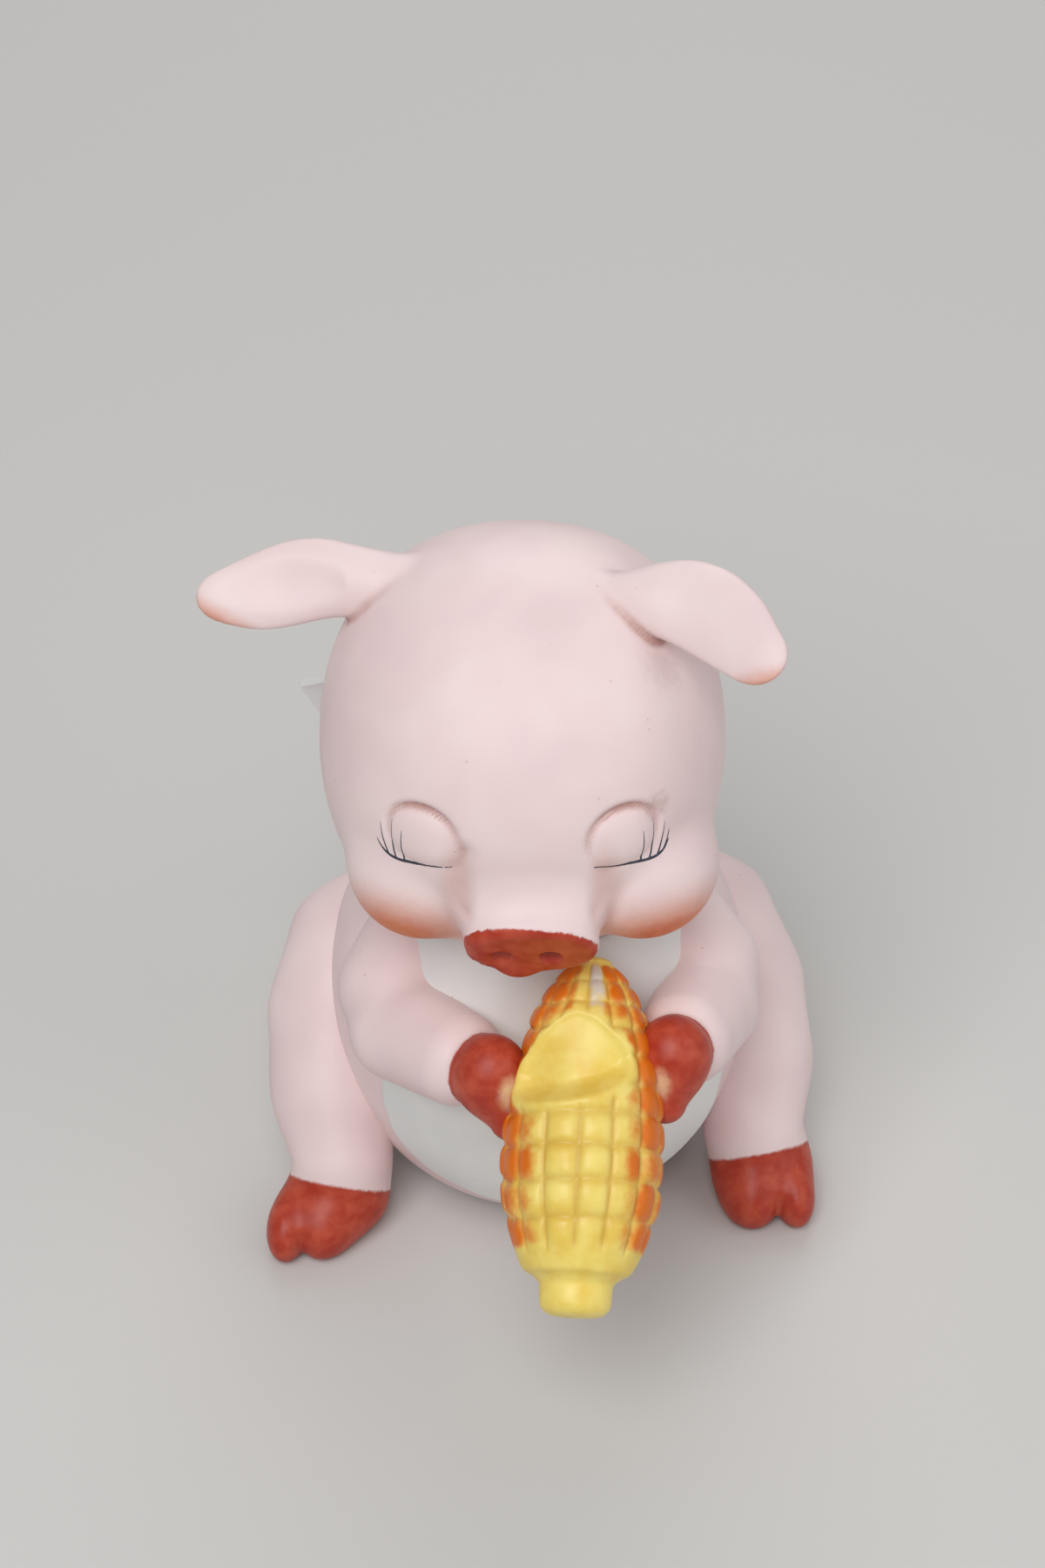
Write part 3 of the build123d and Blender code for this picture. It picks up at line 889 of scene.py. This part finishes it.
tail = pressClay("tail_bisque", tailLumps(), 0.3)
for piece in (body, tail, *arms.values(), *legs.values()):
    keepAttribute(piece, "crease", creases(piece, 0.03))
print("body, limbs and tail pressed")


# Napkin

napkinPlan = {
    "thickness": 0.9,
    "halfWidth": 20.0,
    "low": 9.0,
    "high": 46.6,
    "ripple": 0.16,
    "band": {"height": 45.1, "radius": 17.7, "size": (1.5, 2.0)},
}


def eggRadius(height):
    plan = bodyPlan
    span = np.where(height > plan["girth"], plan["rise"], plan["drop"])
    return plan["radius"] * np.sqrt(np.clip(1 - ((height - plan["girth"]) / span) ** 2, 0, 1))


def makeBib():
    plan = napkinPlan
    clearSelection()
    bpy.ops.mesh.primitive_grid_add(x_subdivisions=70, y_subdivisions=70, size=2)
    bib = bpy.context.object
    grid = readPoints(bib) * mm
    u, v = grid[:, 0], grid[:, 1]
    low = np.clip(-v, 0, 1)
    x = plan["halfWidth"] * u * np.sqrt(1 - low ** 2 / 2) * (1 - 0.22 * np.clip(v, 0, 1) ** 2)
    z = np.where(v < 0, v * np.sqrt(1 - u ** 2 / 2), v)
    girth = bodyPlan["girth"]
    z = girth + np.where(z < 0, z * (girth - plan["low"]), z * (plan["high"] - girth))
    edge = np.maximum(np.abs(u), low)
    wave = np.sin(9 * np.arctan2(v, u)) * plan["ripple"] * smoothStep(0.7, 1, edge)
    radius = eggRadius(z)
    lift = 0.02 + wave * 0.5 + plan["ripple"] * 0.5
    x = np.clip(x, -0.97 * radius, 0.97 * radius)
    y = -np.sqrt(np.clip(radius ** 2 - x ** 2, 0, None))
    outward = np.stack([x, y, np.zeros_like(x)], 1) / radius[:, None]
    writePoints(bib, np.stack([x, y, z], 1) + outward * lift[:, None])
    applyModifier(bib, "SOLIDIFY", thickness=plan["thickness"] * mm, offset=1)
    applyModifier(bib, "SUBSURF", levels=1, render_levels=1)
    return bib


def makeBand():
    band = napkinPlan["band"]
    clearSelection()
    bpy.ops.mesh.primitive_torus_add(major_segments=160, minor_segments=24, major_radius=band["radius"] * mm,
                                     minor_radius=mm, location=(0, 0, band["height"] * mm))
    ring = bpy.context.object
    bpy.ops.object.transform_apply(location=True, rotation=True, scale=True)
    points = readPoints(ring)
    angle = np.arctan2(points[:, 1], points[:, 0])
    reach = np.hypot(points[:, 0], points[:, 1]) - band["radius"]
    rise = points[:, 2] - band["height"]
    lay = np.arctan2(rise, reach)
    fold = 1 + 0.12 * np.sin(3 * lay + 2.5 * angle) + 0.06 * np.sin(7 * angle)
    lean = -0.5 * rise * band["size"][1] * fold
    radius = band["radius"] + reach * band["size"][0] * fold + lean
    writePoints(ring, np.stack([radius * np.cos(angle), radius * np.sin(angle),
                                band["height"] + rise * band["size"][1] * fold], 1))
    return ring


napkin = joinPieces("napkin_bib_bisque", [makeBib(), makeBand()])
pick(napkin)
bpy.ops.object.shade_smooth()

knotPlan = {
    "at": (0, 19.6, 45.4),
    "core": {"size": (4.0, 2.9, 3.4)},
    "strap": {"size": (1.9, 3.3, 3.9), "turn": (0, 12, 0), "blend": 0.5},
    "endLength": 29.0,
    "endWidth": 10.0,
    "endThickness": 1.3,
    "right": {"side": -1, "rise": 21},
    "left": {"side": 1, "rise": -30},
    "sweep": 4,
}
knot = pressClay("napkin_knot_bisque", [
    dict(knotPlan["core"], at=knotPlan["at"]),
    dict(knotPlan["strap"], at=knotPlan["at"]),
], 0.3)


def makeKnotEnd(end):
    plan = knotPlan
    side = end["side"]
    clearSelection()
    bpy.ops.mesh.primitive_grid_add(x_subdivisions=60, y_subdivisions=28, size=2)
    corner = bpy.context.object
    corner.name = corner.data.name = "napkin_end_" + ("left" if side > 0 else "right") + "_bisque"
    grid = readPoints(corner) * mm
    along = (grid[:, 0] + 1) / 2
    width = np.interp(along, (0, 0.15, 0.5, 0.8, 0.985, 1), (0.3, 0.42, 0.86, 1.0, 0.08, 0.02))
    across = grid[:, 1] * width * plan["endWidth"] / 2
    pleat = np.sin(grid[:, 1] * 6.5) * 0.55 * (1 - smoothStep(0.2, 0.95, along))
    bow = -1.1 * np.sin(np.pi * along) * grid[:, 1] ** 2 + 0.6 * along ** 2
    points = np.stack([side * plan["endLength"] * along, pleat + bow, across], 1)
    spin = Matrix.Rotation(math.radians(side * plan["sweep"]), 4, "Z")
    spin = spin @ Matrix.Rotation(math.radians(-side * end["rise"]), 4, "Y")
    writePoints(corner, turned(points, Matrix.Translation(plan["at"]) @ spin))
    applyModifier(corner, "SOLIDIFY", thickness=plan["endThickness"] * mm, offset=0)
    applyModifier(corner, "SUBSURF", levels=1, render_levels=1)
    pick(corner)
    bpy.ops.object.mode_set(mode="EDIT")
    bpy.ops.mesh.select_all(action="SELECT")
    bpy.ops.mesh.normals_make_consistent(inside=False)
    bpy.ops.object.mode_set(mode="OBJECT")
    bpy.ops.object.shade_smooth()
    return corner


knotEnds = {name: makeKnotEnd(knotPlan[name]) for name in ("right", "left")}
for piece in (napkin, knot, *knotEnds.values()):
    keepAttribute(piece, "crease", creases(piece, 0.03))
print("napkin tied")


# Lashes: thin raised strokes of dark paint on the lids

lashPlan = {
    "line": ((-4.3, -2.0), (-1.1, -3.1), (1.2, -4.05), (3.4, -4.2), (5.0, -3.2)),
    "lineWidth": 0.54,
    "hairs": (((3.1, -4.2), (4.2, -2.6), (5.0, -0.5)), ((2.0, -4.2), (3.0, -2.2), (3.7, 0.6)),
              ((1.0, -3.95), (1.6, -1.8), (2.0, 0.4)), ((4.1, -3.9), (4.9, -3.0), (5.4, -1.9))),
    "hairCount": {-1: 3, 1: 4},
    "hairWidth": 0.31,
    "lift": 0.03,
    "steps": 28,  # points along a stroke
    "across": 5,
}


def makeLashes():
    tree = BVHTree.FromObject(headClay, bpy.context.evaluated_depsgraph_get())
    spin = headPlan["place"].to_3x3()
    strokes = []
    for side in (-1, 1):
        spot, axes = eyeAxes(side)
        for points, width in [(lashPlan["line"], lashPlan["lineWidth"])] + [
                (hair, lashPlan["hairWidth"]) for hair in lashPlan["hairs"][:lashPlan["hairCount"][side]]]:
            strokes.append((side, spot, axes, points, width))
    verts, faces = [], []
    steps, offsets = lashPlan["steps"], np.linspace(-1, 1, lashPlan["across"])
    for side, spot, axes, points, width in strokes:
        spread = np.linspace(0, 1, len(points))
        fit = np.polyfit(spread, np.array(points), min(3, len(points) - 1))
        shares = np.linspace(0, 1, steps)
        path = np.stack([np.polyval(fit[:, axis], shares) for axis in range(2)], 1)
        heading = np.gradient(path, axis=0)
        heading /= np.linalg.norm(heading, axis=1)[:, None]
        normal = np.stack([-heading[:, 1], heading[:, 0]], 1)
        taper = np.sin(np.pi * np.clip(shares * 0.9 + 0.06, 0, 1)) ** 0.6
        if width == lashPlan["hairWidth"]:
            taper = (1 - shares) ** 0.6 + 0.12
        start = len(verts)
        for i in range(steps):
            for offset in offsets:
                flat = path[i] + normal[i] * offset * width / 2 * taper[i]
                start3 = spot + axes @ np.array((flat[0], flat[1], 6.0))
                at = headPlan["place"] @ Vector(start3)
                hit, out, _, _ = tree.ray_cast(at * mm, spin @ Vector(-axes[:, 2]))
                lift = lashPlan["lift"] * (1 - offset ** 2) - 0.012
                verts.append(hit + out * lift * mm)
        for i in range(steps - 1):
            for j in range(len(offsets) - 1):
                near = start + i * len(offsets) + j
                far = near + len(offsets)
                quad = (near, near + 1, far + 1, far)
                faces.append(quad if side > 0 else quad[::-1])
    mesh = bpy.data.meshes.new("lashes_paint")
    mesh.from_pydata(verts, [], faces)
    lashes = bpy.data.objects.new("lashes_paint", mesh)
    bpy.context.scene.collection.objects.link(lashes)
    pick(lashes)
    bpy.ops.object.shade_smooth()
    return lashes


lashes = makeLashes()
print("lashes painted")


# Finishes

redPaint = {"color": (168, 48, 27), "thin": (190, 78, 54), "sheen": 0.08, "strength": 1.0}
nostrilShade = {"color": (112, 24, 16), "thin": (128, 34, 22),  # painted shade deep in the nostrils
            "size": (1.2, 1.0, 1.1), "soft": 0.5, "ragged": 0.3, "strength": 0.7}
blushPaint = {"color": (210, 108, 60), "thin": (220, 130, 84),
              "size": (6.2, 6.0, 5.2), "soft": 0.72, "ragged": 0.2, "strength": 1.0}
# brown dirt smudges; the one under the left ear is also painted shadow
grimeAndShadow = {"color": (140, 104, 92), "thin": (176, 140, 128), "soft": 0.8, "ragged": 3.2}
shade = {"color": (192, 140, 132), "thin": (204, 158, 150),  # painted shade in the valleys beside the snout
         "size": (1.5, 2.6, 4.4), "soft": 0.9, "ragged": 0.2, "strength": 0.5}
barePaint = {"color": (230, 190, 168), "thin": (238, 212, 164),  # missed by the brush beside the corn
             "size": (1.3, 1.3, 2.0), "soft": 0.6, "ragged": 0.8, "strength": 0.8}


def headSpot(x, y, z):
    return tuple(headPlan["place"] @ Vector((x, y, z)))


def headWay(x, y, z):
    return tuple(headPlan["place"].to_3x3() @ Vector((x, y, z)))


headPaints = [
    dict(blushPaint, at=headSpot(-13.8, -22.8, -4.8)),
    dict(blushPaint, at=headSpot(16.5, -22.7, -5.0)),
    # painted shade in the valleys on both sides of the snout
    dict(shade, at=headSpot(-7.3, -23.2, 5.6)),
    dict(shade, at=headSpot(9.3, -23.2, 5.6)),
    dict(redPaint, at=headSpot(0, -27.0, 0), toward=headWay(-0.06, -1, -0.14), soft=0.12, ragged=1.0),
    dict(redPaint, at=headSpot(-0.5, -27.2, -5.4), size=(2.8, 2.2, 1.8), soft=0.12, ragged=0.3),
    # painted shade in the two nostrils
    dict(nostrilShade, at=headSpot(-2.4, -27.6, -0.5)),
    dict(nostrilShade, at=headSpot(3.08, -27.6, -0.5)),
    # dirt and painted shadow under the left ear
    dict(grimeAndShadow, at=headSpot(15.3, -2.4, 18.6), size=(2.2, 2.2, 2.2), strength=0.12),
    # a dirt smudge at the left eye's outer brow
    dict(grimeAndShadow, at=headSpot(14.8, -16.1, 11.8), size=(1.3, 1.3, 1.3), strength=0.35),
]
headFinish = bisqueFinish("head blush", bisqueLook, headPaints)
finishPiece(headClay, headFinish, "pink_bisque", "head")

tipGlow = {"color": (216, 138, 108), "thin": (226, 160, 134)}
for name, ear in ears.items():
    side, rim = earPlan[name]["side"], earPlan[name]["rim"]
    matrix = headPlan["place"] @ earMatrix(earPlan[name])
    rimAt = matrix @ Vector((side * rim["at"][0], rim["at"][1], 0))
    rimWay = matrix.to_3x3() @ Vector((side * rim["toward"][0], rim["toward"][1], 0))
    paints = [dict(tipGlow, at=tuple(rimAt), toward=tuple(rimWay), soft=1.4, ragged=0.6, strength=0.95)]
    finishPiece(ear, bisqueFinish("ear " + name + " tint", bisqueLook, paints), "pink_bisque", "ear_" + name)

bodyFinish = bisqueFinish("body pink", bisqueLook)
finishPiece(body, bodyFinish, "pink_bisque", "body")
finishPiece(tail, bodyFinish, "pink_bisque", "tail")

for name, arm in arms.items():
    plan = armPlan[name]
    hand, elbow = Vector(plan["hand"]), Vector(armPlan["elbow"])
    elbow.x *= plan["side"]
    toward = (hand - elbow).normalized()
    redAt = hand - toward * armPlan["redReach"]
    paints = [
        dict(redPaint, at=tuple(redAt), toward=tuple(toward), soft=0.2, ragged=0.6),
        dict(barePaint, at=plan["paleMark"]),
    ]
    armFinish = bisqueFinish("arm " + name + " red hoof", bisqueLook, paints)
    finishPiece(arm, armFinish, "pink_bisque", "arm_" + name)

for name, leg in legs.items():
    paints = [dict(redPaint, **legPlan["redEdge"][name], soft=0.25, ragged=0.6)]
    legFinish = bisqueFinish("leg " + name + " red hoof", bisqueLook, paints)
    finishPiece(leg, legFinish, "pink_bisque", "leg_" + name)

# the napkin's painted shade in its hollows is grey
whiteLook = dict(bisqueLook, pale=(232, 232, 230), deep=(220, 221, 221), hollowShade=(170, 166, 166))
napkinFinish = bisqueFinish("napkin white", whiteLook)
finishPiece(napkin, napkinFinish, "white_bisque", "napkin_bib")
finishPiece(knot, napkinFinish, "white_bisque", "napkin_knot")
for name, corner in knotEnds.items():
    finishPiece(corner, napkinFinish, "white_bisque", "napkin_end_" + name)


cornLook = {
    "pale": (245, 222, 120),
    "deep": (236, 203, 90),
    # painted shade: the colour that the grooves between kernels are darkened towards
    "groove": (190, 132, 36),
    "orange": (222, 112, 8),
    "paleMark": (216, 208, 194),
    "grooveShadeShare": 0.42,
    "roughness": 0.36,
}


def cornFinish():
    look = cornLook
    material, tree, shader = newFinish("corn yellow", look["roughness"])
    place = addPlace(tree)
    grain = addMath(tree, "SUBTRACT", addNoise(tree, place, 0.8, 4.0, 0.65), 0.5)
    broad = addRange(tree, addNoise(tree, place, 3.5), 0.32, 0.7)
    color = addMix(tree, broad, paintColor(*look["pale"]), paintColor(*look["deep"]))
    # painted shade in the grooves between kernels
    groove = addMath(tree, "MULTIPLY", addAttribute(tree, "groove"), look["grooveShadeShare"])
    color = addMix(tree, groove, color, paintColor(*look["groove"]))
    strokes = addMath(tree, "SUBTRACT", addNoise(tree, place, 1.3, 3.0, 0.6), 0.5)
    share = addMath(tree, "ADD", addAttribute(tree, "orange"), addMath(tree, "MULTIPLY", grain, 0.12))
    share = addMath(tree, "ADD", share, addMath(tree, "MULTIPLY", strokes, 0.5))
    color = addMix(tree, addRange(tree, share, 0.2, 0.8), color, paintColor(*look["orange"]))
    # the pale streak along the upper side near the tip
    paleMark = addMath(tree, "ADD", addAttribute(tree, "paleMark"), strokes)
    color = addMix(tree, addRange(tree, paleMark, 0.15, 0.85), color, paintColor(*look["paleMark"]))
    tree.links.new(color, shader.inputs["Base Color"])
    addBump(tree, shader, addNoise(tree, place, 0.4, 3.0), 0.15, 0.08)
    return material


finishPiece(cob, cornFinish(), "corn_yellow", "corn_cob")


def lashFinish():
    material, tree, shader = newFinish("lash blue grey", 0.5)
    place = addPlace(tree)
    thin = addRange(tree, addNoise(tree, place, 0.6), 0.35, 0.75)
    color = addMix(tree, thin, paintColor(46, 50, 64), paintColor(76, 80, 96))
    tree.links.new(color, shader.inputs["Base Color"])
    return material


finishPiece(lashes, lashFinish(), "pink_bisque")
print("finishes done")


# Floor, light and camera

stagePlan = {
    "floor": (206, 205, 203),
    "anchor": (-2.3, -4.0, 67.0),
    "azimuth": 6,
    "elevation": 42,
    "distance": 400,
    "below": 5,  # the view's middle lies this far below the anchor
    "lens": 80,
    "sky": 0.28,
    "aim": (0, 0, 0.05),
    "lamps": (("key", (-0.2, -0.4, 0.65), 0.5, 3.6),  # name, place and size in metres, power
              ("fill", (0.5, -0.3, 0.35), 0.6, 1.0),
              ("rim", (0.1, 0.55, 0.5), 0.5, 1.4)),
}


def makeStage():
    clearSelection()
    bpy.ops.mesh.primitive_plane_add(size=6)
    floor = bpy.context.object
    floor.name = "floor"
    material, tree, shader = newFinish("floor pale", 0.85, 0.15)
    shader.inputs["Base Color"].default_value = paintColor(*stagePlan["floor"])
    floor.data.materials.append(material)
    scene = bpy.context.scene
    scene.view_settings.view_transform = "Standard"
    world = bpy.data.worlds.new("studio")
    scene.world = world
    world.use_nodes = True
    background = world.node_tree.nodes["Background"]
    background.inputs["Color"].default_value = (1.0, 0.99, 0.98, 1)
    background.inputs["Strength"].default_value = stagePlan["sky"]
    for name, at, size, power in stagePlan["lamps"]:
        light = bpy.data.lights.new(name, "AREA")
        light.size = size
        light.energy = power
        lamp = bpy.data.objects.new(name, light)
        scene.collection.objects.link(lamp)
        lamp.location = at
        lamp.rotation_euler = (Vector(stagePlan["aim"]) - lamp.location).to_track_quat("-Z", "Y").to_euler()


def makeCamera():
    plan = stagePlan
    turn, lift = math.radians(plan["azimuth"]), math.radians(plan["elevation"])
    back = Vector((-math.sin(turn) * math.cos(lift), -math.cos(turn) * math.cos(lift), math.sin(lift)))
    right = Vector((math.cos(turn), -math.sin(turn), 0))
    up = back.cross(right)
    data = bpy.data.cameras.new("camera")
    data.lens = plan["lens"]
    data.sensor_width = 36
    data.clip_start = 0.01
    camera = bpy.data.objects.new("camera", data)
    bpy.context.scene.collection.objects.link(camera)
    camera.location = (Vector(plan["anchor"]) - up * plan["below"] + back * plan["distance"]) * mm
    camera.rotation_euler = back.to_track_quat("Z", "Y").to_euler()
    bpy.context.scene.camera = camera


makeStage()
makeCamera()
print("scene ready")
